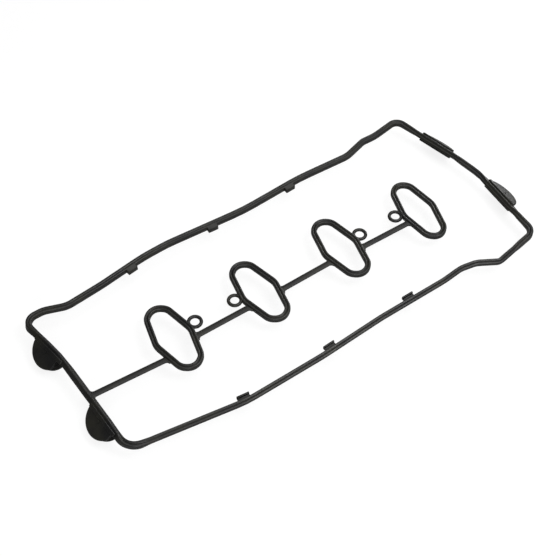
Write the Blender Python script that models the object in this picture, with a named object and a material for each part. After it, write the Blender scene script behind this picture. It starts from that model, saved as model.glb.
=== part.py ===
"""Valve cover gasket: one moulded rubber piece, lying with its four half-moon plugs splayed outward.

Metres, +Z up. X runs along the row of plug-well rings, Y across it. The lengths below are
millimetres and are turned into metres where the meshes are made.
"""
import math

import bmesh
import bpy
from mathutils import Matrix, Vector

MM = 0.001

# Perimeter seal: centre line as corner points with the radius that rounds each one.
# It runs clockwise seen from above, from the near left corner.
PERIMETER = (
    (-82.8, -72.3, 15.0), (-83.9, -42.0, 150.0), (-88.6, 36.3, 200.0), (-99.1, 83.5, 9.5),
    (-79.8, 84.0, 20.0), (-60.3, 77.4, 22.0), (-25.0, 81.3, 150.0), (19.6, 88.5, 150.0),
    (44.6, 89.9, 120.0), (123.6, 86.3, 200.0), (187.2, 91.1, 200.0), (242.2, 89.6, 28.0),
    (265.6, 97.0, 10.0), (280.0, 96.8, 50.0), (310.6, 102.4, 9.0), (327.6, 34.8, 120.0),
    (332.9, 2.6, 70.0), (328.5, -78.9, 11.0), (280.9, -88.2, 7.0), (262.5, -78.0, 22.0),
    (247.3, -75.5, 30.0), (226.8, -77.8, 80.0), (156.7, -79.6, 150.0), (94.0, -84.1, 200.0),
    (18.3, -86.1, 100.0),
)
# Numbers of the corners above that end each short rail, the near one first.
END_CORNERS = {"left": (0, 3), "right": (17, 14)}
SEAL_WIDTH = 5.2
SEAL_HEIGHT = 5.2

# Plug-well rings: place of the middle, turn in degrees and width against the shared outline.
RINGS = (
    (-0.1, -0.5, 0.6, 1.01), (86.0, 0.7, 2.5, 1.0), (172.6, 1.8, 0.2, 1.0), (257.5, -1.3, -4.3, 0.935),
)
RING_WAIST = (16.5, 16.0)
RING_SHOULDER = (10.0, 28.7, 10.5)
RING_CROWN = (36.2, 10.0)
RING_WIDTH = 4.8
RING_HEIGHT = 4.5

# Round loops beside the rings: ring number, side, place of the middle from the ring's middle.
LOOPS = ((0, 1, 23.0, 4.0), (1, -1, -23.1, 3.3), (2, 1, 23.0, 3.0), (3, -1, -22.2, 5.5))
LOOP_HOLE = 7.8
LOOP_CORD = 3.1
LOOP_WEB = 10.6

# Flat strip that ties the rings to each other and to the left rail: height in Y at both ends.
STRIPS = ((-13.3, -16.5), (-9.6, -8.9), (-8.5, -6.8), (-8.4, -8.5))
STRIP_WIDTH = 4.3
STRIP_THICK = 1.6
STRIP_FLARE = 3.0

# Locating tabs on the inner side of the long rails, by their place in X: plain blocks on the far
# rail, hooks on the near one. TAB_FOOT and TAB_TOP lie inside the seal's foot and top.
FAR_TABS = (4.5, 89.0, 173.5)
NEAR_TABS = (18.0, 105.0, 190.5)
TAB_FOOT = 0.25
TAB_TOP = 0.2
FAR_TAB_LENGTH = 9.8
FAR_TAB_REACH = 3.6
NEAR_TAB_LENGTH = 11.2
NEAR_TAB_REACH = 4.0
TAB_LIP = 2.0
TAB_FLOOR = 1.5
TAB_HEIGHT = 3.5

# Half-moon plugs: side, place in Y on the end rail, lean from upright in degrees.
PLUGS = ((-1, 44.5, 54.0), (-1, -38.8, 54.0), (1, 54.8, 46.0), (1, -27.4, 54.0))
PLUG_RADIUS = 17.7
PLUG_THICK = 7.8
PLUG_TOP = 0.4
PLUG_CHAMFER = 0.7
BLOCK_LENGTH = 34.6
BLOCK_WIDTH = 8.8
BLOCK_DEPTH = 3.3
BLOCK_CORNER = 1.1

# Roll of the end rails between the plugs and of the near rail, and the lengths over which it changes.
LEFT_ROLL = 42.0
RIGHT_ROLL = 22.0
NEAR_ROLL = -26.0
END_DEPTH = 24.0
ROLL_FLAT = 18.6
ROLL_EASE = 12.0
ROLL_CORNER = 18.0


def unit(a, b):
    """Return the unit vector from a to b."""
    return (b - a).normalized()


def rounded(corners):
    """Return points along a closed outline whose corners are rounded by arcs."""
    points = []
    count = len(corners)
    for index in range(count):
        here = Vector(corners[index][:2])
        back = unit(here, Vector(corners[index - 1][:2]))
        ahead = unit(here, Vector(corners[(index + 1) % count][:2]))
        radius = corners[index][2]
        turn = math.pi - back.angle(ahead)
        reach = radius * math.tan(turn / 2.0)
        start = here + back * reach
        middle = here + unit(Vector((0.0, 0.0)), back + ahead) * (radius / math.cos(turn / 2.0))
        side = 1.0 if (start - middle).cross(ahead - back) > 0.0 else -1.0
        steps = max(2, math.ceil(math.degrees(turn) / (11.0 if radius < 40.0 else 4.0)))
        spoke = start - middle
        for step in range(steps + 1):
            angle = side * turn * step / steps
            turned = Vector((
                spoke.x * math.cos(angle) - spoke.y * math.sin(angle),
                spoke.x * math.sin(angle) + spoke.y * math.cos(angle),
            ))
            points.append(middle + turned)
    return points


def densified(points, longest, wanted):
    """Return the closed outline with extra points on the spans for which wanted() holds."""
    result = []
    for index, point in enumerate(points):
        following = points[(index + 1) % len(points)]
        result.append(point)
        span = (following - point).length
        if span > longest and wanted(point) and wanted(following):
            pieces = math.ceil(span / longest)
            for piece in range(1, pieces):
                result.append(point.lerp(following, piece / pieces))
    return result


def crossing(points, axis, value, largest):
    """Return the point and direction where a closed outline meets a line of constant X or Y."""
    found = []
    for index, point in enumerate(points):
        following = points[(index + 1) % len(points)]
        low, high = sorted((point[axis], following[axis]))
        if low <= value < high:
            share = (value - point[axis]) / (following[axis] - point[axis])
            found.append((point.lerp(following, share), unit(point, following)))
    found.sort(key=lambda pair: pair[0][1 - axis])
    return found[-1] if largest else found[0]


def smooth_step(value):
    """Return a soft change from 0 to 1 as value runs from 0 to 1."""
    value = min(1.0, max(0.0, value))
    return value * value * (3.0 - 2.0 * value)


def rail_roll(point):
    """Return how far the seal is rolled at a point, in radians, with its foot outward."""
    middle = (PERIMETER[END_CORNERS["left"][0]][0] + PERIMETER[END_CORNERS["right"][0]][0]) / 2.0
    side = -1 if point.x < middle else 1
    first, last = END_CORNERS["left" if side < 0 else "right"]
    between = LEFT_ROLL if side < 0 else RIGHT_ROLL
    low = PERIMETER[first][1]
    high = PERIMETER[last][1]
    extreme = max(side * corner[0] for corner in PERIMETER)
    depth = extreme - side * point.x
    share = smooth_step((point.y - low) / ROLL_CORNER) * smooth_step((high - point.y) / ROLL_CORNER)
    inside = smooth_step((depth - END_DEPTH) / ROLL_EASE)
    roll = between
    for place_side, place, lean in PLUGS:
        if place_side == side:
            away = smooth_step((abs(point.y - place) - ROLL_FLAT) / ROLL_EASE)
            roll += (lean - between) * (1.0 - away)
    long_rail = NEAR_ROLL if point.y < 0.0 else 0.0
    return math.radians(roll * share * (1.0 - inside) + long_rail * inside)


def seal_section(width, height):
    """Return a chamfered section with a groove between two beads along its top."""
    chamfer = 0.17 * height
    half = width / 2.0
    top = height / 2.0
    groove = 0.13 * width
    return (
        (-half, chamfer - top), (chamfer - half, -top), (half - chamfer, -top), (half, chamfer - top),
        (half, top - chamfer), (half - chamfer, top), (groove, top), (0.0, top - 0.16 * height),
        (-groove, top), (chamfer - half, top), (-half, top - chamfer),
    )


def round_section(diameter):
    """Return an eight-sided round section."""
    radius = diameter / 2.0
    angles = [math.tau * (step + 0.5) / 8.0 for step in range(8)]
    return tuple((radius * math.cos(angle), radius * math.sin(angle)) for angle in angles)


def new_object(name, mesh_data):
    """Return a new object, linked to the scene, that holds a finished bmesh."""
    bmesh.ops.recalc_face_normals(mesh_data, faces=mesh_data.faces)
    bmesh.ops.triangulate(mesh_data, faces=mesh_data.faces)
    mesh = bpy.data.meshes.new(name)
    mesh_data.to_mesh(mesh)
    mesh_data.free()
    made = bpy.data.objects.new(name, mesh)
    bpy.context.scene.collection.objects.link(made)
    return made


def swept_loop(name, points, section, roll=None):
    """Return a closed seal: the section carried round a clockwise or counter-clockwise outline."""
    area = sum(a.cross(b) for a, b in zip(points, points[1:] + points[:1]))
    outward = 1.0 if area > 0.0 else -1.0
    mesh_data = bmesh.new()
    rings = []
    for index, point in enumerate(points):
        before = unit(points[index - 1], point)
        after = unit(point, points[(index + 1) % len(points)])
        along = (before + after).normalized()
        across = Vector((along.y, -along.x, 0.0)) * outward
        stretch = 1.0 / max(0.5, along.dot(after))
        angle = roll(point) if roll else 0.0
        cosine = math.cos(angle)
        sine = math.sin(angle)
        ring = []
        for wide, tall in section:
            out = (wide * cosine - tall * sine) * stretch
            rise = wide * sine + tall * cosine
            place = Vector((point.x, point.y, 0.0)) + across * out + Vector((0.0, 0.0, rise))
            ring.append(mesh_data.verts.new(place * MM))
        rings.append(ring)
    for index, ring in enumerate(rings):
        following = rings[(index + 1) % len(rings)]
        for corner in range(len(section)):
            nearby = (corner + 1) % len(section)
            mesh_data.faces.new((ring[corner], ring[nearby], following[nearby], following[corner]))
    return new_object(name, mesh_data)


def prism(name, outline, low, high, frame=None):
    """Return a straight solid between two heights over an outline, placed by a frame matrix."""
    mesh_data = bmesh.new()
    floor = [mesh_data.verts.new(Vector((x, y, low)) * MM) for x, y in outline]
    roof = [mesh_data.verts.new(Vector((x, y, high)) * MM) for x, y in outline]
    mesh_data.faces.new(floor)
    mesh_data.faces.new(roof)
    for index in range(len(outline)):
        nearby = (index + 1) % len(outline)
        mesh_data.faces.new((floor[index], floor[nearby], roof[nearby], roof[index]))
    if frame:
        bmesh.ops.transform(mesh_data, matrix=frame, verts=mesh_data.verts)
    return new_object(name, mesh_data)


def local_frame(point, along, up_tilt=0.0):
    """Return a matrix with X along a rail, Y to its outer side and Z up, tilted about the rail."""
    tilt = Matrix.Rotation(up_tilt, 4, "X")
    turn = Matrix.Rotation(math.atan2(along.y, along.x), 4, "Z")
    return Matrix.Translation(Vector((point.x, point.y, 0.0)) * MM) @ turn @ tilt


def ring_outline(place):
    """Return the centre line of one plug-well ring."""
    waist_x, waist_radius = RING_WAIST
    shoulder_x, shoulder_y, shoulder_radius = RING_SHOULDER
    crown_y, crown_radius = RING_CROWN
    corners = (
        (waist_x, 0.0, waist_radius), (shoulder_x, shoulder_y, shoulder_radius),
        (0.0, crown_y, crown_radius), (-shoulder_x, shoulder_y, shoulder_radius),
        (-waist_x, 0.0, waist_radius), (-shoulder_x, -shoulder_y, shoulder_radius),
        (0.0, -crown_y, crown_radius), (shoulder_x, -shoulder_y, shoulder_radius),
    )
    middle_x, middle_y, turn, squeeze = place
    middle = Vector((middle_x, middle_y))
    spin = Matrix.Rotation(math.radians(turn), 2)
    return [middle + spin @ Vector((squeeze * point.x, point.y)) for point in rounded(corners)]


def loop_pieces(number, rings):
    """Return the round loop beside a ring and the web that joins the two."""
    ring_number, side, reach_x, reach_y = LOOPS[number]
    ring = RINGS[ring_number]
    middle = Vector((ring[0] + reach_x, ring[1] + reach_y))
    radius = (LOOP_HOLE + LOOP_CORD) / 2.0
    circle = [
        middle + Vector((math.cos(math.tau * step / 20), math.sin(math.tau * step / 20))) * radius
        for step in range(20)
    ]
    loop = swept_loop("loop_%d" % number, circle, round_section(LOOP_CORD))
    edge, _ = crossing(rings[ring_number], 1, middle.y, side > 0)
    half = LOOP_WEB / 2.0
    bare = LOOP_HOLE / 2.0 + 0.45 * LOOP_CORD
    hollow = middle.x - side * bare
    inner = middle.x - side * math.sqrt(bare * bare - (0.5 * half) ** 2)
    tip = inner + side * 1.2
    upper = ((hollow, 0.0), (inner, 0.5 * half), (tip, half - 0.9), (edge.x, half + 0.6))
    outline = [(x, middle.y + y) for x, y in upper]
    outline += [(x, middle.y - y) for x, y in reversed(upper[1:])]
    web = prism("web_%d" % number, outline, -0.38 * LOOP_CORD, 0.38 * LOOP_CORD)
    return [loop, web]


def strip_piece(number, perimeter, rings):
    """Return one length of the flat strip, flared where it meets the cords."""
    low_y, high_y = STRIPS[number]
    if number:
        start, _ = crossing(rings[number - 1], 1, low_y, True)
    else:
        start, _ = crossing(perimeter, 1, low_y, False)
    end, _ = crossing(rings[number], 1, high_y, False)
    half = STRIP_WIDTH / 2.0
    cord = RING_WIDTH / 2.0
    length = (end - start).length
    flare = [(0.0, half + 0.8 * STRIP_FLARE)]
    for degrees in (20.0, 45.0, 70.0, 90.0):
        angle = math.radians(degrees)
        flare.append((
            cord + STRIP_FLARE * (1.0 - math.cos(angle)),
            half + STRIP_FLARE * (1.0 - math.sin(angle)),
        ))
    upper = flare + [(length - x, y) for x, y in reversed(flare)]
    outline = upper + [(x, -y) for x, y in reversed(upper)]
    frame = local_frame(start, unit(start, end))
    return prism("strip_%d" % number, outline, -STRIP_THICK / 2.0, STRIP_THICK / 2.0, frame)


def tab_piece(name, point, along, profile, length):
    """Return one locating tab: its profile, as inward and up, carried along the rail."""
    mesh_data = bmesh.new()
    half = length / 2.0
    starts = [mesh_data.verts.new(Vector((-half, -y, z)) * MM) for y, z in profile]
    ends = [mesh_data.verts.new(Vector((half, -y, z)) * MM) for y, z in profile]
    mesh_data.faces.new(starts)
    mesh_data.faces.new(ends)
    for index in range(len(profile)):
        nearby = (index + 1) % len(profile)
        mesh_data.faces.new((starts[index], starts[nearby], ends[nearby], ends[index]))
    bmesh.ops.transform(mesh_data, matrix=local_frame(point, along), verts=mesh_data.verts)
    return new_object(name, mesh_data)


def tab_pieces(perimeter):
    """Return the block-shaped tabs of the far rail and the hook-shaped ones of the near rail."""
    floor = TAB_FOOT - SEAL_HEIGHT / 2.0
    roof = SEAL_HEIGHT / 2.0 - TAB_TOP
    side = SEAL_WIDTH / 2.0
    root = 0.3 * side
    far = side + FAR_TAB_REACH
    block = ((root, floor), (far, floor), (far, roof), (root, roof))
    far = side + NEAR_TAB_REACH
    hook = (
        (root, floor), (far, floor), (far, floor + TAB_HEIGHT), (far - TAB_LIP, floor + TAB_HEIGHT),
        (far - TAB_LIP, floor + TAB_FLOOR), (root, floor + TAB_FLOOR),
    )
    pieces = []
    for number, place in enumerate(FAR_TABS):
        point, along = crossing(perimeter, 0, place, True)
        pieces.append(tab_piece("far_tab_%d" % number, point, along, block, FAR_TAB_LENGTH))
    for number, place in enumerate(NEAR_TABS):
        point, along = crossing(perimeter, 0, place, False)
        pieces.append(tab_piece("near_tab_%d" % number, point, along, hook, NEAR_TAB_LENGTH))
    return pieces


def plug_pieces(number, perimeter):
    """Return the half disc and the block of one half-moon plug, leaning outward."""
    side, place, lean = PLUGS[number]
    point, along = crossing(perimeter, 1, place, side > 0)
    if along.y * side > 0.0:
        along = -along
    frame = local_frame(point, along, math.radians(lean))
    half = PLUG_THICK / 2.0
    radius = PLUG_RADIUS
    chamfer = PLUG_CHAMFER
    rim = (
        (-half, radius - chamfer), (chamfer - half, radius), (-0.9, radius), (0.0, radius - 0.9),
        (0.9, radius), (half - chamfer, radius), (half, radius - chamfer),
    )
    mesh_data = bmesh.new()
    centre_z = PLUG_TOP - 0.3
    hubs = [mesh_data.verts.new(Vector((0.0, y, centre_z)) * MM) for y in (-half, half)]
    steps = 20
    arcs = []
    for step in range(steps + 1):
        angle = math.pi * step / steps
        arcs.append([
            mesh_data.verts.new(Vector((rho * math.cos(angle), y, centre_z - rho * math.sin(angle))) * MM)
            for y, rho in rim
        ])
    for before, after in zip(arcs, arcs[1:]):
        for a in range(len(rim) - 1):
            mesh_data.faces.new((before[a], before[a + 1], after[a + 1], after[a]))
        mesh_data.faces.new((hubs[0], before[0], after[0]))
        mesh_data.faces.new((hubs[1], after[-1], before[-1]))
    mesh_data.faces.new([hubs[0], hubs[1]] + list(reversed(arcs[0])))
    mesh_data.faces.new([hubs[1], hubs[0]] + arcs[-1])
    bmesh.ops.transform(mesh_data, matrix=frame, verts=mesh_data.verts)
    disc = new_object("disc_%d" % number, mesh_data)
    reach = BLOCK_LENGTH / 2.0
    wide = BLOCK_WIDTH / 2.0
    long = reach - BLOCK_CORNER
    short = wide - BLOCK_CORNER
    outline = (
        (-reach, -short), (-long, -wide), (long, -wide), (reach, -short),
        (reach, short), (long, wide), (-long, wide), (-reach, short),
    )
    block = prism("block_%d" % number, outline, PLUG_TOP - BLOCK_DEPTH, PLUG_TOP, frame)
    return [disc, block]


def joined(base, tools):
    """Join every tool to the base as one solid and remove the tools."""
    batch = bpy.data.collections.new("tools")
    for tool in tools:
        batch.objects.link(tool)
    union = base.modifiers.new("union", "BOOLEAN")
    union.operation = "UNION"
    union.solver = "EXACT"
    union.operand_type = "COLLECTION"
    union.collection = batch
    bpy.context.view_layer.objects.active = base
    bpy.ops.object.modifier_apply(modifier=union.name)
    for tool in tools:
        bpy.data.objects.remove(tool, do_unlink=True)
    bpy.data.collections.remove(batch)


def rubber():
    """Return the near-black moulded rubber."""
    material = bpy.data.materials.new("moulded_rubber")
    material.use_nodes = True
    surface = material.node_tree.nodes["Principled BSDF"]
    surface.inputs["Base Color"].default_value = (0.022, 0.022, 0.021, 1.0)
    surface.inputs["Roughness"].default_value = 0.55
    return material


def settle(gasket):
    """Move the mesh so that its box stands on the ground with its middle at the origin."""
    lows = [min(v.co[axis] for v in gasket.data.vertices) for axis in range(3)]
    highs = [max(v.co[axis] for v in gasket.data.vertices) for axis in range(3)]
    shift = Vector(((lows[0] + highs[0]) / -2.0, (lows[1] + highs[1]) / -2.0, -lows[2]))
    gasket.data.transform(Matrix.Translation(shift))


def build():
    """Make the gasket."""
    for old in list(bpy.data.objects):
        bpy.data.objects.remove(old, do_unlink=True)
    outline = rounded(PERIMETER)
    left = min(point.x for point in outline) + END_DEPTH
    right = max(point.x for point in outline) - END_DEPTH
    perimeter = densified(outline, 6.0, lambda point: point.x < left or point.x > right)
    gasket = swept_loop("gasket", perimeter, seal_section(SEAL_WIDTH, SEAL_HEIGHT), rail_roll)
    rings = [ring_outline(place) for place in RINGS]
    tools = []
    for number, ring in enumerate(rings):
        tools.append(strip_piece(number, perimeter, rings))
        tools.append(swept_loop("ring_%d" % number, ring, seal_section(RING_WIDTH, RING_HEIGHT)))
        tools.extend(loop_pieces(number, rings))
        tools.extend(plug_pieces(number, perimeter))
    tools.extend(tab_pieces(perimeter))
    joined(gasket, tools)
    settle(gasket)
    gasket.data.materials.clear()
    gasket.data.materials.append(rubber())


build()
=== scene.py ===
"""Valve cover gasket moulded in black nitrile rubber, lying with its end plugs splayed outward.

Lengths in the dataclasses are millimetres. Each piece is drawn in the gasket's own plane, where the
first plug-well ring is the origin and the height is counted from the middle of the cords, and is
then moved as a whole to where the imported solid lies.
"""

import logging
import math
from collections.abc import Callable, Iterator, Sequence
from contextlib import contextmanager
from dataclasses import dataclass, field
from enum import Enum
from typing import Any

import bmesh
import bpy
from mathutils import Matrix, Vector

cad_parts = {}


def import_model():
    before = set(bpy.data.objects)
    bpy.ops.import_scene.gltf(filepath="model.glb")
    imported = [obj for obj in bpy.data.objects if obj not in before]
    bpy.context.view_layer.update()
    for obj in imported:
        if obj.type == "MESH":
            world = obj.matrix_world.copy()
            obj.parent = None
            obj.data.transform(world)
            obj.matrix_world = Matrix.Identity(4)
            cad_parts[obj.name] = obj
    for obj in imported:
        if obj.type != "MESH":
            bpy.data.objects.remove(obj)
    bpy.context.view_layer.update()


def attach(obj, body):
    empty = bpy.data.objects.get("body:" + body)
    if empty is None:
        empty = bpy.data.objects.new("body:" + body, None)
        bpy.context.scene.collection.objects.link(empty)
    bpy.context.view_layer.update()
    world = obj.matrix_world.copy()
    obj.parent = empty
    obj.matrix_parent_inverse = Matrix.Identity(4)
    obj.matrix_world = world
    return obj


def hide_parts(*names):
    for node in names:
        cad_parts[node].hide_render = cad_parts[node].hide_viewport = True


log = logging.getLogger("gasket")

MM = 0.001
# How far from a place a vertex may be and still be picked as lying on it, in millimetres.
TOUCH = 0.02
# Places of a mix node's colours among its sockets, whose names its plain numbers share.
MIX_FIRST = 6
MIX_SECOND = 7
MIX_RESULT = 2

Outline = list[tuple[float, float]]
Corner = tuple[float, float, float]
Colour = tuple[float, float, float, float]


class Side(Enum):
    """The left or the right side, by the sign of X."""

    LEFT = -1
    RIGHT = 1


class Rail(Enum):
    """The long rail that a tab stands on, by the sign of Y."""

    NEAR = -1
    FAR = 1


# Colour and materials


def linear(hex_code: str) -> Colour:
    """Return an sRGB hex colour as linear values.

    Args:
        hex_code: six hex digits, such as "2a2a2a".

    Returns:
        Linear red, green and blue, with an alpha of 1.
    """
    channels = [int(hex_code[place:place + 2], 16) / 255.0 for place in (0, 2, 4)]
    red, green, blue = (c / 12.92 if c <= 0.04045 else ((c + 0.055) / 1.055) ** 2.4 for c in channels)
    return (red, green, blue, 1.0)


def add_node(
    tree: bpy.types.NodeTree,
    kind: str,
    settings: dict[str, Any] | None = None,
    links: dict[str, bpy.types.NodeSocket] | None = None,
) -> bpy.types.Node:
    """Add one node to a material.

    Args:
        tree: the material's node tree.
        kind: the node's type name, such as "ShaderNodeBump".
        settings: values for its properties and its sockets, by name.
        links: the sockets that feed its inputs, by input name.

    Returns:
        The new node.
    """
    node = tree.nodes.new(kind)
    for name, value in (settings or {}).items():
        if name in node.inputs:
            node.inputs[name].default_value = value
        else:
            setattr(node, name, value)
    for name, socket in (links or {}).items():
        tree.links.new(socket, node.inputs[name])
    return node


@dataclass(frozen=True)
class MouldedNitrile:
    """Carbon-black nitrile rubber, pressed in a spark-eroded steel mould.

    That makes it near black, satin and faintly grained, with an olive bloom where it has aged.
    """

    name: str = "moulded_nitrile_rubber"
    # The rubber's own colour and the olive bloom that lies on it in patches.
    body: str = "171717"
    bloom: str = "282720"
    roughness: float = 0.42
    roughness_spread: float = 0.12
    ior: float = 1.50
    # Sizes of the bloom's patches and of the changes in gloss.
    cloud_mm: float = 22.0
    smear_mm: float = 7.0
    # The mould's real grain is near 0.1 mm, too fine to show, so it is drawn at 0.7 mm.
    grain_mm: float = 0.7
    grain_depth_mm: float = 0.03
    grain_strength: float = 0.5
    # Values of the noise between which the bloom comes in and the gloss changes.
    bloom_range: tuple[float, float] = (0.40, 0.66)
    gloss_range: tuple[float, float] = (0.3, 0.7)

    def make(self) -> bpy.types.Material:
        """Make the rubber.

        Returns:
            The material, with its bloom, its uneven gloss and the mould's grain.
        """
        material = bpy.data.materials.new(self.name)
        material.use_nodes = True
        tree = material.node_tree
        surface = tree.nodes["Principled BSDF"]
        surface.inputs["IOR"].default_value = self.ior
        place = add_node(tree, "ShaderNodeTexCoord").outputs["Object"]
        cloud, smear, grain = (
            add_node(
                tree, "ShaderNodeTexNoise",
                {"Scale": 1.0 / (size * MM), "Detail": detail, "Roughness": rough}, {"Vector": place},
            ).outputs["Fac"]
            for size, detail, rough in (
                (self.cloud_mm, 4.0, 0.6), (self.smear_mm, 3.0, 0.5), (self.grain_mm, 2.0, 0.5),
            )
        )
        low, high = self.bloom_range
        share = add_node(
            tree, "ShaderNodeMapRange",
            {"From Min": low, "From Max": high, "To Min": 0.0, "To Max": 1.0}, {"Value": cloud},
        )
        colour = add_node(
            tree, "ShaderNodeMix", {"data_type": "RGBA"}, {"Factor": share.outputs["Result"]},
        )
        colour.inputs[MIX_FIRST].default_value = linear(self.body)
        colour.inputs[MIX_SECOND].default_value = linear(self.bloom)
        low, high = self.gloss_range
        gloss = add_node(
            tree, "ShaderNodeMapRange",
            {
                "From Min": low, "From Max": high,
                "To Min": self.roughness - self.roughness_spread / 2.0,
                "To Max": self.roughness + self.roughness_spread / 2.0,
            },
            {"Value": smear},
        )
        bump = add_node(
            tree, "ShaderNodeBump",
            {"Strength": self.grain_strength, "Distance": self.grain_depth_mm * MM}, {"Height": grain},
        )
        tree.links.new(colour.outputs[MIX_RESULT], surface.inputs["Base Color"])
        tree.links.new(gloss.outputs["Result"], surface.inputs["Roughness"])
        tree.links.new(bump.outputs["Normal"], surface.inputs["Normal"])
        return material


@dataclass(frozen=True)
class SeamlessPaper:
    """White background paper: matt, and shown as white as the page with a trace of the shadow."""

    name: str = "seamless_paper"
    sheet: str = "b8b8b8"
    # Share of the paper's own shading that the camera sees, and the even white that makes up the rest.
    shaded: float = 0.50
    shown: float = 0.845
    roughness: float = 0.9

    def make(self) -> bpy.types.Material:
        """Make the paper.

        Returns:
            The material, which lights the gasket as real paper does and looks white to the camera.
        """
        material = bpy.data.materials.new(self.name)
        material.use_nodes = True
        tree = material.node_tree
        surface = tree.nodes["Principled BSDF"]
        surface.inputs["Roughness"].default_value = self.roughness
        surface.inputs["Specular IOR Level"].default_value = 0.0
        surface.inputs["Emission Color"].default_value = (1.0, 1.0, 1.0, 1.0)
        seen = add_node(tree, "ShaderNodeLightPath").outputs["Is Camera Ray"]
        sheet = linear(self.sheet)
        tint = add_node(tree, "ShaderNodeMix", {"data_type": "RGBA"}, {"Factor": seen})
        tint.inputs[MIX_FIRST].default_value = sheet
        tint.inputs[MIX_SECOND].default_value = (*(self.shaded * channel for channel in sheet[:3]), 1.0)
        glow = add_node(
            tree, "ShaderNodeMapRange", {"To Min": 0.0, "To Max": self.shown}, {"Value": seen},
        )
        tree.links.new(tint.outputs[MIX_RESULT], surface.inputs["Base Color"])
        tree.links.new(glow.outputs["Result"], surface.inputs["Emission Strength"])
        return material


# Bench tools


def drop_selection() -> None:
    """Leave edit mode and deselect everything."""
    if bpy.context.object and bpy.context.object.mode == "EDIT":
        bpy.ops.object.mode_set(mode="OBJECT")
    bpy.ops.object.select_all(action="DESELECT")


@contextmanager
def editing(piece: bpy.types.Object) -> Iterator[None]:
    """Work on one piece in edit mode and come back to object mode.

    Args:
        piece: the object to edit; everything else is deselected first.
    """
    drop_selection()
    piece.select_set(True)
    bpy.context.view_layer.objects.active = piece
    bpy.ops.object.mode_set(mode="EDIT")
    bpy.ops.mesh.select_mode(type="VERT")
    yield
    bpy.ops.object.mode_set(mode="OBJECT")


def pick(piece: bpy.types.Object, wanted: Callable[[Vector], bool]) -> None:
    """Select some vertices of the edited piece.

    Args:
        piece: the object in edit mode.
        wanted: whether a vertex is selected, given its place in millimetres.
    """
    bpy.ops.mesh.select_mode(type="VERT")
    bpy.ops.mesh.select_all(action="DESELECT")
    mesh = bmesh.from_edit_mesh(piece.data)
    for vertex in mesh.verts:
        if wanted(vertex.co / MM):
            vertex.select = True
    mesh.select_flush(True)
    bmesh.update_edit_mesh(piece.data)


def turn(angle: float, axis: str, centre: Vector) -> None:
    """Turn the selection anticlockwise about an axis.

    Args:
        angle: how far, in radians.
        axis: "X", "Y" or "Z".
        centre: a place on the axis, in millimetres.
    """
    # The operator counts its angle the other way.
    bpy.ops.transform.rotate(value=-angle, orient_axis=axis, center_override=centre * MM)


def slice_at(place: Vector, normal: Vector, remove: bool = False) -> None:
    """Cut the whole edited piece with a plane.

    Args:
        place: a point on the plane, in millimetres.
        normal: the plane's normal.
        remove: whether what lies on the normal's side goes, with the cut closed.
    """
    bpy.ops.mesh.select_all(action="SELECT")
    bpy.ops.mesh.bisect(
        plane_co=place * MM, plane_no=normal, use_fill=remove, clear_outer=remove, threshold=1e-6,
    )


def round_edges(radius: float, segments: int = 2, sharper_than: float = 40.0) -> None:
    """Round the sharp edges of the edited piece.

    Args:
        radius: size of the rounding in millimetres.
        segments: how many faces make it up.
        sharper_than: smallest angle of an edge that is rounded, in degrees.
    """
    bpy.ops.mesh.select_mode(type="EDGE")
    bpy.ops.mesh.select_all(action="DESELECT")
    bpy.ops.mesh.edges_select_sharp(sharpness=math.radians(sharper_than))
    bpy.ops.mesh.bevel(offset=radius * MM, segments=segments, affect="EDGES", clamp_overlap=True)


def seat(piece: bpy.types.Object, place: Matrix) -> None:
    """Put a finished mesh where it belongs, with its object left at the origin.

    Args:
        piece: the object that carries the mesh.
        place: where the mesh goes, with its shift in millimetres.
    """
    piece.data.transform(piece.matrix_world)
    piece.matrix_world = Matrix.Identity(4)
    piece.data.transform(Matrix.Scale(MM, 4) @ place @ Matrix.Scale(1.0 / MM, 4))


# Runs and sections


@dataclass(frozen=True)
class Station:
    """A place on a seal's centre line and the direction of the run there."""

    place: Vector
    heading: float


def rounded_run(corners: Sequence[Corner], step: float, longest: float) -> list[Station]:
    """Return stations along a closed outline whose corners are rounded by arcs.

    Args:
        corners: place of each corner and the radius that rounds it, in millimetres.
        step: largest turn between two stations, in degrees.
        longest: largest distance between two stations, in millimetres.

    Returns:
        The stations in order, each with the direction that halves the bend there.
    """
    points: list[Vector] = []
    for index, corner in enumerate(corners):
        here = Vector(corner[:2])
        back = (Vector(corners[index - 1][:2]) - here).normalized()
        ahead = (Vector(corners[(index + 1) % len(corners)][:2]) - here).normalized()
        bend = math.pi - back.angle(ahead)
        middle = here + (back + ahead).normalized() * (corner[2] / math.cos(bend / 2.0))
        spoke = here + back * corner[2] * math.tan(bend / 2.0) - middle
        side = 1.0 if spoke.cross(ahead - back) > 0.0 else -1.0
        count = max(2, math.ceil(math.degrees(bend) / step))
        turns = (side * bend * share / count for share in range(count + 1))
        points += [middle + Matrix.Rotation(angle, 2) @ spoke for angle in turns]
    dense: list[Vector] = []
    for here, there in zip(points, points[1:] + points[:1]):
        pieces = max(1, math.ceil((there - here).length / longest))
        dense += [here.lerp(there, share / pieces) for share in range(pieces)]
    return stations_on(dense)


def stations_on(points: Sequence[Vector]) -> list[Station]:
    """Return a station at each point of a closed outline.

    Args:
        points: the outline, in millimetres.

    Returns:
        The stations in order, each facing the way that halves the bend there.
    """
    stations = []
    for index, here in enumerate(points):
        before = (here - points[index - 1]).normalized()
        after = (points[(index + 1) % len(points)] - here).normalized()
        along = before + after
        stations.append(Station(here, math.atan2(along.y, along.x)))
    return stations


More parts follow.
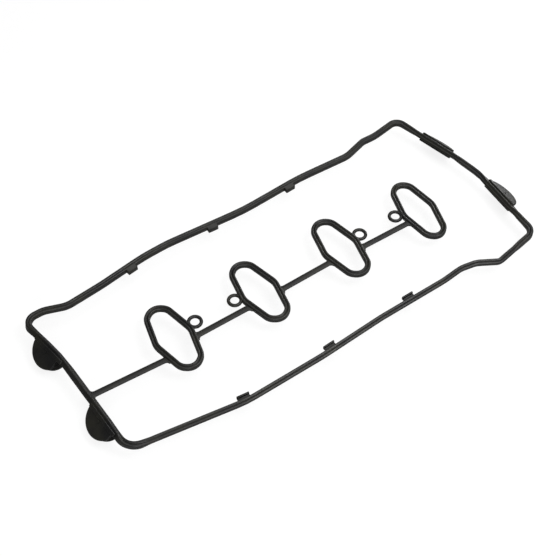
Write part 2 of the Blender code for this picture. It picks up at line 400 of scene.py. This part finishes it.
def crossing(run: Sequence[Station], axis: int, value: float, largest: bool) -> Station:
    """Return where a closed run meets a line of constant X or Y.

    Args:
        run: the stations of the run.
        axis: 0 for a line of constant X, 1 for constant Y.
        value: the constant, in millimetres.
        largest: whether the crossing with the largest other coordinate is meant.

    Returns:
        The crossing, with the direction of the run there.
    """
    found = []
    for index, here in enumerate(run):
        there = run[(index + 1) % len(run)]
        low, high = sorted((here.place[axis], there.place[axis]))
        if low <= value < high:
            share = (value - here.place[axis]) / (there.place[axis] - here.place[axis])
            along = there.place - here.place
            found.append(Station(here.place.lerp(there.place, share), math.atan2(along.y, along.x)))
    found.sort(key=lambda station: station.place[1 - axis])
    return found[-1] if largest else found[0]


@dataclass(frozen=True)
class BeadedSection:
    """Section of a seal: flat foot, upright sides and two round beads with a groove between them."""

    width: float
    height: float
    foot_radius: float = 0.8
    # Radius of each bead's outer shoulder as a share of half the width.
    bead_share: float = 0.43
    # Depth of the groove as a share of the height.
    groove_share: float = 0.17
    # Radius of each bead's shoulder towards the groove, and how far that shoulder stays from the middle.
    lip_radius: float = 1.0
    groove_half: float = 0.3

    def outline(self) -> Outline:
        """Work out the section.

        Returns:
            Its points outward and up, from the foot round to the foot.
        """
        half = self.width / 2.0
        top = self.height / 2.0
        bead = self.bead_share * half
        lip = self.groove_half + self.lip_radius
        right = []
        for angle in (-90.0, -60.0, -30.0, 0.0):
            turned = math.radians(angle)
            right.append((
                half - self.foot_radius * (1.0 - math.cos(turned)),
                self.foot_radius * (1.0 + math.sin(turned)) - top,
            ))
        for angle in (0.0, 25.0, 50.0, 75.0):
            turned = math.radians(angle)
            right.append((half - bead * (1.0 - math.cos(turned)), top - bead * (1.0 - math.sin(turned))))
        for angle in (100.0, 125.0, 150.0):
            turned = math.radians(angle)
            drop = self.lip_radius * (1.0 - math.sin(turned))
            right.append((lip + self.lip_radius * math.cos(turned), top - drop))
        left = [(-out, up) for out, up in reversed(right)]
        return right + [(0.0, top - self.groove_share * self.height)] + left


def draw_seal(
    name: str,
    outline: Outline,
    run: Sequence[Station],
    roll: Callable[[Vector], float] = lambda place: 0.0,
) -> bpy.types.Object:
    """Draw a section round a closed run by extruding it from station to station.

    Args:
        name: name of the new piece.
        outline: the section, as points outward and up.
        run: the stations of the centre line.
        roll: how far the section is rolled at a place, in radians, with its foot outward.

    Returns:
        The closed seal.
    """
    area = sum(a.place.cross(b.place) for a, b in zip(run, [*run[1:], run[0]]))
    outward = -1.0 if area > 0.0 else 1.0
    drop_selection()
    bpy.ops.mesh.primitive_circle_add(vertices=len(outline), radius=MM, fill_type="NOTHING")
    piece = bpy.context.object
    piece.name = name
    with editing(piece):
        section = bmesh.from_edit_mesh(piece.data)
        start = run[0].place
        for corner, (out, up) in zip(section.verts, outline):
            corner.co = Vector((start.x, start.y + outward * out, up)) * MM
        bmesh.update_edit_mesh(piece.data)
        bpy.ops.mesh.select_all(action="SELECT")
        rolled = outward * roll(start)
        turn(rolled, "X", start.to_3d())
        turn(run[0].heading, "Z", start.to_3d())
        for before, after in zip(run, run[1:]):
            step = (after.place - before.place).to_3d() * MM
            bpy.ops.mesh.extrude_region_move(TRANSFORM_OT_translate={"value": step})
            centre = after.place.to_3d()
            wanted = outward * roll(after.place)
            turn(-before.heading, "Z", centre)
            turn(wanted - rolled, "X", centre)
            turn(after.heading, "Z", centre)
            rolled = wanted
        bpy.ops.mesh.select_mode(type="EDGE")
        bpy.ops.mesh.select_all(action="DESELECT")
        bpy.ops.mesh.select_non_manifold(
            extend=False, use_wire=False, use_boundary=True,
            use_multi_face=False, use_non_contiguous=False, use_verts=False,
        )
        bpy.ops.mesh.bridge_edge_loops()
        bpy.ops.mesh.select_all(action="SELECT")
        bpy.ops.mesh.normals_make_consistent(inside=False)
    return piece


# Sub-assemblies


@dataclass
class RimSeal:
    """The outer seal: two long rails and two end rails that roll outward towards their plugs."""

    corners: tuple[Corner, ...] = (
        (-82.8, -72.3, 15.0), (-83.9, -42.0, 150.0), (-88.6, 36.3, 200.0), (-99.1, 83.5, 9.5),
        (-79.8, 84.0, 20.0), (-60.3, 77.4, 22.0), (-25.0, 81.3, 150.0), (19.6, 88.5, 150.0),
        (44.6, 89.9, 120.0), (123.6, 86.3, 200.0), (187.2, 91.1, 200.0), (242.2, 89.6, 28.0),
        (265.6, 97.0, 10.0), (280.0, 96.8, 50.0), (310.6, 102.4, 9.0), (327.6, 34.8, 120.0),
        (332.9, 2.6, 70.0), (328.5, -78.9, 11.0), (280.9, -88.2, 7.0), (262.5, -78.0, 22.0),
        (247.3, -75.5, 30.0), (226.8, -77.8, 80.0), (156.7, -79.6, 150.0), (94.0, -84.1, 200.0),
        (18.3, -86.1, 100.0),
    )
    # Y of the near and the far end of each end rail, and its outermost X.
    left_rail: tuple[float, float] = (-72.3, 83.5)
    right_rail: tuple[float, float] = (-78.9, 102.4)
    left_reach: float = -99.1
    right_reach: float = 332.9
    section: BeadedSection = BeadedSection(
        width=5.4, height=5.2, bead_share=0.32, groove_share=0.08, lip_radius=0.5, groove_half=0.25,
    )
    # Roll between the plugs of each end rail and along the near rail, in degrees with the foot outward.
    left_roll: float = 42.0
    right_roll: float = 22.0
    near_roll: float = -26.0
    # How far from its outermost X an end rail keeps its roll, and from a plug's middle the plug's.
    end_depth: float = 24.0
    plug_flat: float = 18.6
    # Lengths over which the roll changes, past those places and from a corner.
    ease: float = 12.0
    corner_ease: float = 18.0
    # Side, Y and lean in degrees of each plug.
    plugs: tuple[tuple[Side, float, float], ...] = (
        (Side.LEFT, 44.5, 54.0), (Side.LEFT, -38.8, 54.0),
        (Side.RIGHT, 54.8, 46.0), (Side.RIGHT, -27.4, 54.0),
    )
    run: list[Station] = field(default_factory=list)

    def __post_init__(self) -> None:
        """Work out the centre line."""
        self.run = rounded_run(self.corners, step=5.0, longest=3.5)

    @staticmethod
    def _soft(value: float) -> float:
        """Return a soft change from 0 to 1 as the value runs from 0 to 1, and 0 or 1 past them."""
        value = min(1.0, max(0.0, value))
        return value * value * (3.0 - 2.0 * value)

    def roll(self, place: Vector) -> float:
        """Work out how far the seal is rolled at a place.

        Args:
            place: a point of the centre line, in millimetres.

        Returns:
            The roll in radians, with the foot outward.
        """
        middle = (self.left_reach + self.right_reach) / 2.0
        side = Side.LEFT if place.x < middle else Side.RIGHT
        low, high = self.left_rail if side is Side.LEFT else self.right_rail
        reach = self.left_reach if side is Side.LEFT else self.right_reach
        depth = abs(reach - place.x)
        share = self._soft((place.y - low) / self.corner_ease)
        share *= self._soft((high - place.y) / self.corner_ease)
        inside = self._soft((depth - self.end_depth) / self.ease)
        between = self.left_roll if side is Side.LEFT else self.right_roll
        rolled = between
        for plug_side, plug_place, lean in self.plugs:
            if plug_side is side:
                away = self._soft((abs(place.y - plug_place) - self.plug_flat) / self.ease)
                rolled += (lean - between) * (1.0 - away)
        long_rail = self.near_roll if place.y < 0.0 else 0.0
        return math.radians(rolled * share * (1.0 - inside) + long_rail * inside)

    def build(self) -> bpy.types.Object:
        """Return the rim seal."""
        return draw_seal("rim_seal", self.section.outline(), self.run, self.roll)


@dataclass
class PlugWellRing:
    """One ring round a spark plug well, widest in the middle and round at both ends.

    Each ring is turned by its twist, in degrees, after its width is scaled by its squeeze.
    """

    number: int
    x: float
    y: float
    twist: float
    squeeze: float
    # The corners of a quarter of the ring: half width and radius, place and radius, height and radius.
    middle: tuple[float, float] = (16.5, 16.0)
    shoulder: tuple[float, float, float] = (10.0, 28.7, 10.5)
    crown: tuple[float, float] = (36.2, 10.0)
    section: BeadedSection = BeadedSection(width=5.2, height=4.5)
    run: list[Station] = field(default_factory=list)

    def __post_init__(self) -> None:
        """Work out the centre line."""
        wide, wide_radius = self.middle
        narrow, rise, narrow_radius = self.shoulder
        top, top_radius = self.crown
        half = (
            (wide, 0.0, wide_radius), (narrow, rise, narrow_radius),
            (0.0, top, top_radius), (-narrow, rise, narrow_radius),
        )
        whole = half + tuple((-across, -along, radius) for across, along, radius in half)
        place = Matrix.Rotation(math.radians(self.twist), 2) @ Matrix.Diagonal((self.squeeze, 1.0))
        centre = Vector((self.x, self.y))
        plain = rounded_run(whole, step=6.0, longest=4.0)
        self.run = stations_on([centre + place @ station.place for station in plain])

    def build(self) -> bpy.types.Object:
        """Return the ring."""
        return draw_seal(f"well_ring_{self.number}", self.section.outline(), self.run)


@dataclass
class SideLoop:
    """A round loop of thin cord beside a ring, with the web that carries it."""

    ring: PlugWellRing
    side: Side
    # Where the loop's middle lies from the ring's.
    reach_x: float
    reach_y: float
    hole: float = 7.8
    cord: float = 3.1
    web: float = 10.6
    # The web's thickness and how far its tip stays from the loop's hole, as shares of the cord.
    web_thick: float = 0.76
    web_bite: float = 0.45
    # How much wider the web is on each side at the ring, how much narrower near the loop, and how far
    # from its tip that is.
    flare: float = 0.6
    waist: float = 0.9
    waist_place: float = 1.2
    web_edge: float = 0.4

    def build(self) -> list[bpy.types.Object]:
        """Model the loop and its web.

        Returns:
            The two pieces.
        """
        middle = Vector((self.ring.x + self.reach_x, self.ring.y + self.reach_y, 0.0))
        drop_selection()
        bpy.ops.mesh.primitive_torus_add(
            major_radius=(self.hole + self.cord) / 2.0 * MM, minor_radius=self.cord / 2.0 * MM,
            major_segments=48, minor_segments=14, location=middle * MM,
        )
        loop = bpy.context.object
        loop.name = f"side_loop_{self.ring.number}"
        seat(loop, Matrix.Identity(4))
        return [loop, self._web(middle)]

    def _web(self, middle: Vector) -> bpy.types.Object:
        """Model the web between the loop and its ring.

        Args:
            middle: the loop's middle, in millimetres.

        Returns:
            The web.
        """
        edge = crossing(self.ring.run, 1, middle.y, largest=self.side is Side.RIGHT).place
        bare = self.hole / 2.0 + self.web_bite * self.cord
        near = abs(middle.x - edge.x)
        half = self.web / 2.0
        wide = half + self.flare
        tip = half / 2.0
        inner = math.sqrt(bare * bare - tip * tip)
        drop_selection()
        bpy.ops.mesh.primitive_cube_add(size=MM)
        web = bpy.context.object
        web.name = f"loop_web_{self.ring.number}"
        with editing(web):
            bpy.ops.mesh.select_all(action="SELECT")
            bpy.ops.transform.resize(value=(near - inner, 2.0 * wide, self.web_thick * self.cord))
            bpy.ops.transform.translate(value=Vector(((near + inner) / 2.0, 0.0, 0.0)) * MM)
            slice_at(Vector((inner + self.waist_place, 0.0, 0.0)), Vector((1.0, 0.0, 0.0)))
            pick(web, lambda spot: spot.x < inner + TOUCH)
            bpy.ops.transform.resize(value=(1.0, tip / wide, 1.0))
            pick(web, lambda spot: abs(spot.x - inner - self.waist_place) < TOUCH)
            bpy.ops.transform.resize(value=(1.0, (half - self.waist) / wide, 1.0))
            slice_at(Vector((0.0, 0.0, 0.0)), Vector((0.0, 1.0, 0.0)))
            pick(web, lambda spot: spot.x < inner + TOUCH and abs(spot.y) < TOUCH)
            bpy.ops.transform.translate(value=Vector((bare - inner, 0.0, 0.0)) * MM)
            round_edges(self.web_edge)
        turned = Matrix.Rotation(math.pi, 4, "Z") if self.side is Side.RIGHT else Matrix.Identity(4)
        seat(web, Matrix.Translation(middle) @ turned)
        return web


@dataclass
class TieStrip:
    """One length of the flat strip that ties two cords, flared at both ends."""

    number: int
    start: Vector
    end: Vector
    # Width of the cords, in whose middles the strip starts and ends.
    cord: float = 5.2
    width: float = 5.2
    thick: float = 1.6
    # Radius of the flare, and the share of it that the strip has widened by at its ends.
    flare: float = 3.0
    end_flare: float = 0.8
    edge: float = 0.35

    def build(self) -> bpy.types.Object:
        """Model the strip.

        Returns:
            The strip, with its ends inside the cords.
        """
        along = self.end - self.start
        length = along.length
        drop_selection()
        bpy.ops.mesh.primitive_cube_add(size=MM)
        strip = bpy.context.object
        strip.name = f"tie_strip_{self.number}"
        half = self.width / 2.0
        with editing(strip):
            bpy.ops.mesh.select_all(action="SELECT")
            bpy.ops.transform.resize(value=(length, self.width, self.thick))
            bpy.ops.transform.translate(value=Vector((length / 2.0, 0.0, 0.0)) * MM)
            widths = {0.0: half + self.end_flare * self.flare}
            for degrees in (12.0, 30.0, 50.0, 70.0, 90.0):
                angle = math.radians(degrees)
                inset = self.cord / 2.0 + self.flare * (1.0 - math.cos(angle))
                widths[inset] = half + self.flare * (1.0 - math.sin(angle))
                slice_at(Vector((inset, 0.0, 0.0)), Vector((1.0, 0.0, 0.0)))
                slice_at(Vector((length - inset, 0.0, 0.0)), Vector((1.0, 0.0, 0.0)))
            for inset, wide in widths.items():
                pick(strip, lambda spot, inset=inset: abs(min(spot.x, length - spot.x) - inset) < TOUCH)
                bpy.ops.transform.resize(value=(1.0, wide / half, 1.0))
            round_edges(self.edge, sharper_than=50.0)
        heading = Matrix.Rotation(math.atan2(along.y, along.x), 4, "Z")
        seat(strip, Matrix.Translation(self.start.to_3d()) @ heading)
        return strip


@dataclass
class LocatingTab:
    """A locating tab inside a long rail: a plain block on the far rail, a hook on the near one."""

    rail: Rail
    number: int
    station: Station
    seal: BeadedSection
    # How far the tab stays clear of the seal's foot and top.
    foot: float = 0.25
    top: float = 0.2
    # Length and reach past the seal of each kind.
    block: tuple[float, float] = (9.8, 3.6)
    hook: tuple[float, float] = (11.2, 4.0)
    # Width of the hook's upright lip, thickness of its floor and height of the whole hook.
    lip: float = 1.6
    floor: float = 1.5
    height: float = 3.5
    # Where the tab starts inside the seal, as a share of half the seal's width.
    root: float = 0.3
    edge: float = 0.35

    def build(self) -> bpy.types.Object:
        """Model the tab.

        Returns:
            The tab, with its root inside the seal.
        """
        hooked = self.rail is Rail.NEAR
        length, reach = self.hook if hooked else self.block
        low = self.foot - self.seal.height / 2.0
        thick = self.floor if hooked else self.seal.height - self.foot - self.top
        near = self.seal.width / 2.0
        far = near + reach
        start = self.root * near
        drop_selection()
        bpy.ops.mesh.primitive_cube_add(size=MM)
        tab = bpy.context.object
        tab.name = f"{self.rail.name.lower()}_tab_{self.number}"
        with editing(tab):
            bpy.ops.mesh.select_all(action="SELECT")
            bpy.ops.transform.resize(value=(length, far - start, thick))
            shift = Vector((0.0, -(far + start) / 2.0, low + thick / 2.0))
            bpy.ops.transform.translate(value=shift * MM)
            if hooked:
                slice_at(Vector((0.0, self.lip - far, 0.0)), Vector((0.0, 1.0, 0.0)))
                pick(tab, lambda spot: spot.y < self.lip - far + TOUCH and spot.z > low + thick - TOUCH)
                bpy.ops.mesh.extrude_region_move(
                    TRANSFORM_OT_translate={"value": (0.0, 0.0, (self.height - thick) * MM)}
                )
            round_edges(self.edge)
        heading = Matrix.Rotation(self.station.heading, 4, "Z")
        seat(tab, Matrix.Translation(self.station.place.to_3d()) @ heading)
        return tab


@dataclass
class HalfMoonPlug:
    """A half-moon plug that closes a camshaft bore: a half disc with a grooved rim under a block."""

    side: Side
    number: int
    station: Station
    # Degrees, with the half disc outward.
    lean: float
    radius: float = 17.7
    thick: float = 7.8
    # Height of the block's top above the cords' middle, and of the disc's top.
    top: float = 0.4
    disc_top: float = 0.1
    chamfer: float = 1.1
    # Half the groove's width at the rim and at its floor.
    groove_half: float = 2.0
    groove_floor: float = 1.4
    groove_depth: float = 2.0
    # Radius and height of the pip, its place along the rail and down the face, and its rounding.
    pip: float = 1.3
    pip_height: float = 0.8
    pip_place: tuple[float, float] = (1.4, -4.3)
    pip_edge: float = 0.2
    block_length: float = 35.8
    block_width: float = 8.8
    block_depth: float = 3.3
    block_edge: float = 0.4
    # Where the outer face stops short of the near end, if it does, and how deep the step is.
    face_end: float | None = None
    face_step: float = 3.3

    def build(self) -> list[bpy.types.Object]:
        """Model the plug.

        Returns:
            The half disc, its block and its pip, leaning outward with the rail.
        """
        heading = self.station.heading
        if math.sin(heading) * self.side.value > 0.0:
            heading += math.pi
        frame = Matrix.Translation(self.station.place.to_3d())
        frame = frame @ Matrix.Rotation(heading, 4, "Z") @ Matrix.Rotation(math.radians(self.lean), 4, "X")
        pieces = [self._disc(), self._block(), self._pip()]
        for piece in pieces:
            seat(piece, frame)
        return pieces

    def _disc(self) -> bpy.types.Object:
        """Model the half disc.

        Returns:
            The disc, with a groove round its rim and rounded edges.
        """
        hub = Vector((0.0, 0.0, self.disc_top))
        drop_selection()
        bpy.ops.mesh.primitive_cylinder_add(
            vertices=120, radius=self.radius * MM, depth=self.thick * MM,
        )
        disc = bpy.context.object
        disc.name = f"{self.side.name.lower()}_plug_disc_{self.number}"
        with editing(disc):
            bpy.ops.mesh.select_all(action="SELECT")
            turn(math.pi / 2.0, "X", Vector((0.0, 0.0, 0.0)))
            bpy.ops.transform.translate(value=hub * MM)
            slice_at(hub, Vector((0.0, 0.0, 1.0)), remove=True)
            round_edges(self.chamfer, segments=3)
            for place in (-self.groove_half, -self.groove_floor, self.groove_floor, self.groove_half):
                slice_at(Vector((0.0, place, 0.0)), Vector((0.0, 1.0, 0.0)))
            pick(disc, lambda spot: abs(spot.y) < self.groove_floor + TOUCH and spot.z < hub.z - TOUCH)
            shrink = (self.radius - self.groove_depth) / self.radius
            bpy.ops.transform.resize(value=(shrink, 1.0, shrink), center_override=hub * MM)
        if self.face_end is not None:
            self._shorten_face(disc, self.face_end)
        return disc

    def _shorten_face(self, disc: bpy.types.Object, end: float) -> None:
        """Take away the front of the disc beyond an end, which leaves the back of the rim as a lug.

        Args:
            disc: the half disc.
            end: where the face ends, in millimetres along the rail.
        """
        drop_selection()
        bpy.ops.mesh.primitive_cube_add(size=MM)
        cutter = bpy.context.object
        with editing(cutter):
            bpy.ops.mesh.select_all(action="SELECT")
            bpy.ops.transform.resize(value=(self.radius, self.thick, 2.0 * self.radius))
            # The cut starts half way down the block, where it can't be seen.
            top = self.top - self.block_depth / 2.0
            middle = Vector((end - self.radius / 2.0, self.thick - self.face_step, top - self.radius))
            bpy.ops.transform.translate(value=middle * MM)
        drop_selection()
        disc.select_set(True)
        bpy.context.view_layer.objects.active = disc
        cut = disc.modifiers.new("short_face", "BOOLEAN")
        cut.operation = "DIFFERENCE"
        cut.solver = "EXACT"
        cut.object = cutter
        bpy.ops.object.modifier_apply(modifier=cut.name)
        bpy.data.objects.remove(cutter, do_unlink=True)

    def _block(self) -> bpy.types.Object:
        """Model the block that the seal runs over.

        Returns:
            The block.
        """
        drop_selection()
        bpy.ops.mesh.primitive_cube_add(size=MM)
        block = bpy.context.object
        block.name = f"{self.side.name.lower()}_plug_block_{self.number}"
        with editing(block):
            bpy.ops.mesh.select_all(action="SELECT")
            bpy.ops.transform.resize(value=(self.block_length, self.block_width, self.block_depth))
            bpy.ops.transform.translate(value=(0.0, 0.0, (self.top - self.block_depth / 2.0) * MM))
            round_edges(self.block_edge, segments=3)
        return block

    def _pip(self) -> bpy.types.Object:
        """Model the small round pip that the mould leaves on the outer face, below the block.

        Returns:
            The pip.
        """
        drop_selection()
        bpy.ops.mesh.primitive_cylinder_add(
            vertices=20, radius=self.pip * MM, depth=2.0 * self.pip_height * MM,
        )
        pip = bpy.context.object
        pip.name = f"{self.side.name.lower()}_plug_pip_{self.number}"
        with editing(pip):
            bpy.ops.mesh.select_all(action="SELECT")
            turn(math.pi / 2.0, "X", Vector((0.0, 0.0, 0.0)))
            along, up = self.pip_place
            bpy.ops.transform.translate(value=Vector((along, self.thick / 2.0, up)) * MM)
            round_edges(self.pip_edge, sharper_than=60.0)
        return pip


@dataclass
class Gasket:
    """The whole moulding, fused from its sub-assemblies into one skin."""

    # Where the first ring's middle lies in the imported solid's frame.
    datum: tuple[float, float, float] = (-120.285, -6.354, 14.545)
    # X, Y, twist and squeeze of each ring.
    rings: tuple[tuple[float, float, float, float], ...] = (
        (-0.1, -0.5, 0.6, 1.01), (86.0, 0.7, 2.5, 1.0), (172.6, 1.8, 0.2, 1.0), (257.5, -1.3, -4.3, 0.935),
    )
    # The side of its ring that each loop is on, and where its middle lies from the ring's.
    loops: tuple[tuple[Side, float, float], ...] = (
        (Side.RIGHT, 23.0, 4.0), (Side.LEFT, -23.1, 3.3), (Side.RIGHT, 23.0, 3.0), (Side.LEFT, -22.2, 5.5),
    )
    # Y of each strip's left and right end, and X of each tab.
    strips: tuple[tuple[float, float], ...] = ((-13.3, -16.5), (-9.6, -8.9), (-8.5, -6.8), (-8.4, -8.5))
    far_tabs: tuple[float, ...] = (4.5, 89.0, 173.5)
    near_tabs: tuple[float, ...] = (18.0, 105.0, 190.5)
    # Where the outer face of each plug stops short, in the order of the rim's plugs.
    face_ends: tuple[float | None, ...] = (-12.5, -15.2, None, None)
    # Edges that bend less than this, in degrees, are shaded smooth.
    smooth_below: float = 35.0

    def build(self) -> bpy.types.Object:
        """Build every piece and fuse them.

        Returns:
            The gasket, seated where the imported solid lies.
        """
        rim = RimSeal()
        body = rim.build()
        pieces: list[bpy.types.Object] = []
        rings = [PlugWellRing(number, *place) for number, place in enumerate(self.rings)]
        for ring, (side, reach_x, reach_y) in zip(rings, self.loops):
            pieces.append(ring.build())
            pieces += SideLoop(ring, side, reach_x, reach_y).build()
        for number, (left, right) in enumerate(self.strips):
            source = rings[number - 1].run if number else rim.run
            start = crossing(source, 1, left, largest=number > 0).place
            end = crossing(rings[number].run, 1, right, largest=False).place
            pieces.append(TieStrip(number, start, end).build())
        for rail, places in ((Rail.FAR, self.far_tabs), (Rail.NEAR, self.near_tabs)):
            for number, place in enumerate(places):
                station = crossing(rim.run, 0, place, largest=rail is Rail.FAR)
                pieces.append(LocatingTab(rail, number, station, rim.section).build())
        for number, ((side, place, lean), face_end) in enumerate(zip(rim.plugs, self.face_ends)):
            station = crossing(rim.run, 1, place, largest=side is Side.RIGHT)
            pieces += HalfMoonPlug(side, number, station, lean, face_end=face_end).build()
        for piece in [body, *pieces]:
            log.info("%s: %d faces", piece.name, len(piece.data.polygons))
        return self._fused(body, pieces)

    def _fused(self, body: bpy.types.Object, pieces: list[bpy.types.Object]) -> bpy.types.Object:
        """Join the pieces to the rim seal as one closed skin and move it to its place.

        Args:
            body: the rim seal.
            pieces: everything else; these objects are used up.

        Returns:
            The gasket.
        """
        batch = bpy.data.collections.new("moulded_pieces")
        for piece in pieces:
            batch.objects.link(piece)
        drop_selection()
        body.select_set(True)
        bpy.context.view_layer.objects.active = body
        union = body.modifiers.new("union", "BOOLEAN")
        union.operation = "UNION"
        union.solver = "EXACT"
        union.operand_type = "COLLECTION"
        union.collection = batch
        bpy.ops.object.modifier_apply(modifier=union.name)
        for piece in pieces:
            bpy.data.objects.remove(piece, do_unlink=True)
        bpy.data.collections.remove(batch)
        body.name = "moulded_gasket"
        seat(body, Matrix.Translation(self.datum))
        drop_selection()
        body.select_set(True)
        bpy.context.view_layer.objects.active = body
        bpy.ops.object.shade_smooth_by_angle(angle=math.radians(self.smooth_below))
        return body


# Studio


@dataclass(frozen=True)
class Softbox:
    """A square softbox that faces the gasket: its place and side in millimetres, its power in watts."""

    name: str
    place: tuple[float, float, float]
    size: float
    power: float


@dataclass(frozen=True)
class Studio:
    """White paper, the camera, a large softbox overhead and four smaller ones round the gasket.

    The side and rim softboxes stand behind the right end and make the near plug's face shine there. The
    fill softbox lights the near left corner, and the front one the near rail.
    """

    softboxes: tuple[Softbox, ...] = (
        Softbox("overhead_softbox", (450.0, 0.0, 1500.0), 1800.0, 14.5),
        Softbox("side_softbox", (1200.0, 700.0, 450.0), 600.0, 1.2),
        Softbox("rim_softbox", (700.0, 260.0, 110.0), 200.0, 1.0),
        Softbox("fill_softbox", (-520.0, -780.0, 380.0), 400.0, 3.0),
        Softbox("front_softbox", (400.0, -500.0, 1030.0), 500.0, 3.4),
    )
    # Strength of the room's even light.
    air: float = 0.10
    # Side of the paper, in metres.
    paper_size: float = 12.0
    # What the camera looks at and from how far, in millimetres, and its angles, in degrees.
    target: tuple[float, float, float] = (-13.00, -3.21, 14.55)
    shift: tuple[float, float] = (-0.0009, 0.0009)
    distance: float = 933.16
    elevation: float = 52.89
    azimuth: float = 33.22
    lens: float = 69.25

    def build(self) -> None:
        """Put up the paper, the lights and the camera."""
        self._paper()
        for softbox in self.softboxes:
            self._light(softbox)
        self._world()
        self._camera()

    def _paper(self) -> None:
        """Lay the paper on the ground, well past the view."""
        drop_selection()
        bpy.ops.mesh.primitive_plane_add(size=self.paper_size)
        paper = bpy.context.object
        paper.name = "paper"
        paper.data.materials.append(SeamlessPaper().make())

    @staticmethod
    def _light(softbox: Softbox) -> None:
        """Hang one softbox.

        Args:
            softbox: what is hung and where.
        """
        data = bpy.data.lights.new(softbox.name, "AREA")
        data.shape = "SQUARE"
        data.size = softbox.size * MM
        data.energy = softbox.power
        light = bpy.data.objects.new(softbox.name, data)
        bpy.context.scene.collection.objects.link(light)
        place = Vector(softbox.place)
        light.location = place * MM
        light.rotation_euler = (-place).to_track_quat("-Z", "Y").to_euler()

    def _world(self) -> None:
        """Fill the room with even light, shown as white behind everything."""
        world = bpy.data.worlds.new("studio_air")
        world.use_nodes = True
        tree = world.node_tree
        backdrop = tree.nodes["Background"]
        backdrop.inputs["Color"].default_value = (1.0, 1.0, 1.0, 1.0)
        path = add_node(tree, "ShaderNodeLightPath")
        strength = add_node(
            tree, "ShaderNodeMapRange", {"To Min": self.air, "To Max": 1.0},
            {"Value": path.outputs["Is Camera Ray"]},
        )
        tree.links.new(strength.outputs["Result"], backdrop.inputs["Strength"])
        bpy.context.scene.world = world

    def _camera(self) -> None:
        """Set the camera at the photograph's angle."""
        data = bpy.data.cameras.new("camera")
        data.sensor_width = 36.0
        data.lens = self.lens
        data.shift_x, data.shift_y = self.shift
        data.clip_start = 0.01
        data.clip_end = 100.0
        camera = bpy.data.objects.new("camera", data)
        bpy.context.scene.collection.objects.link(camera)
        rise = math.radians(self.elevation)
        swing = math.radians(self.azimuth)
        view = Vector((math.sin(swing) * math.cos(rise), math.cos(swing) * math.cos(rise), -math.sin(rise)))
        camera.location = (Vector(self.target) - view * self.distance) * MM
        camera.rotation_euler = view.to_track_quat("-Z", "Y").to_euler()
        bpy.context.scene.camera = camera


def main() -> None:
    """Build the gasket and the studio."""
    logging.basicConfig(level=logging.INFO, format="%(name)s: %(message)s")
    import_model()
    bpy.context.scene.view_settings.view_transform = "Standard"
    gasket = Gasket().build()
    gasket.data.materials.clear()
    gasket.data.materials.append(MouldedNitrile().make())
    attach(gasket, "root")
    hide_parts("gasket")
    log.info("%s: %d faces", gasket.name, len(gasket.data.polygons))
    Studio().build()


if __name__ == "__main__":
    main()
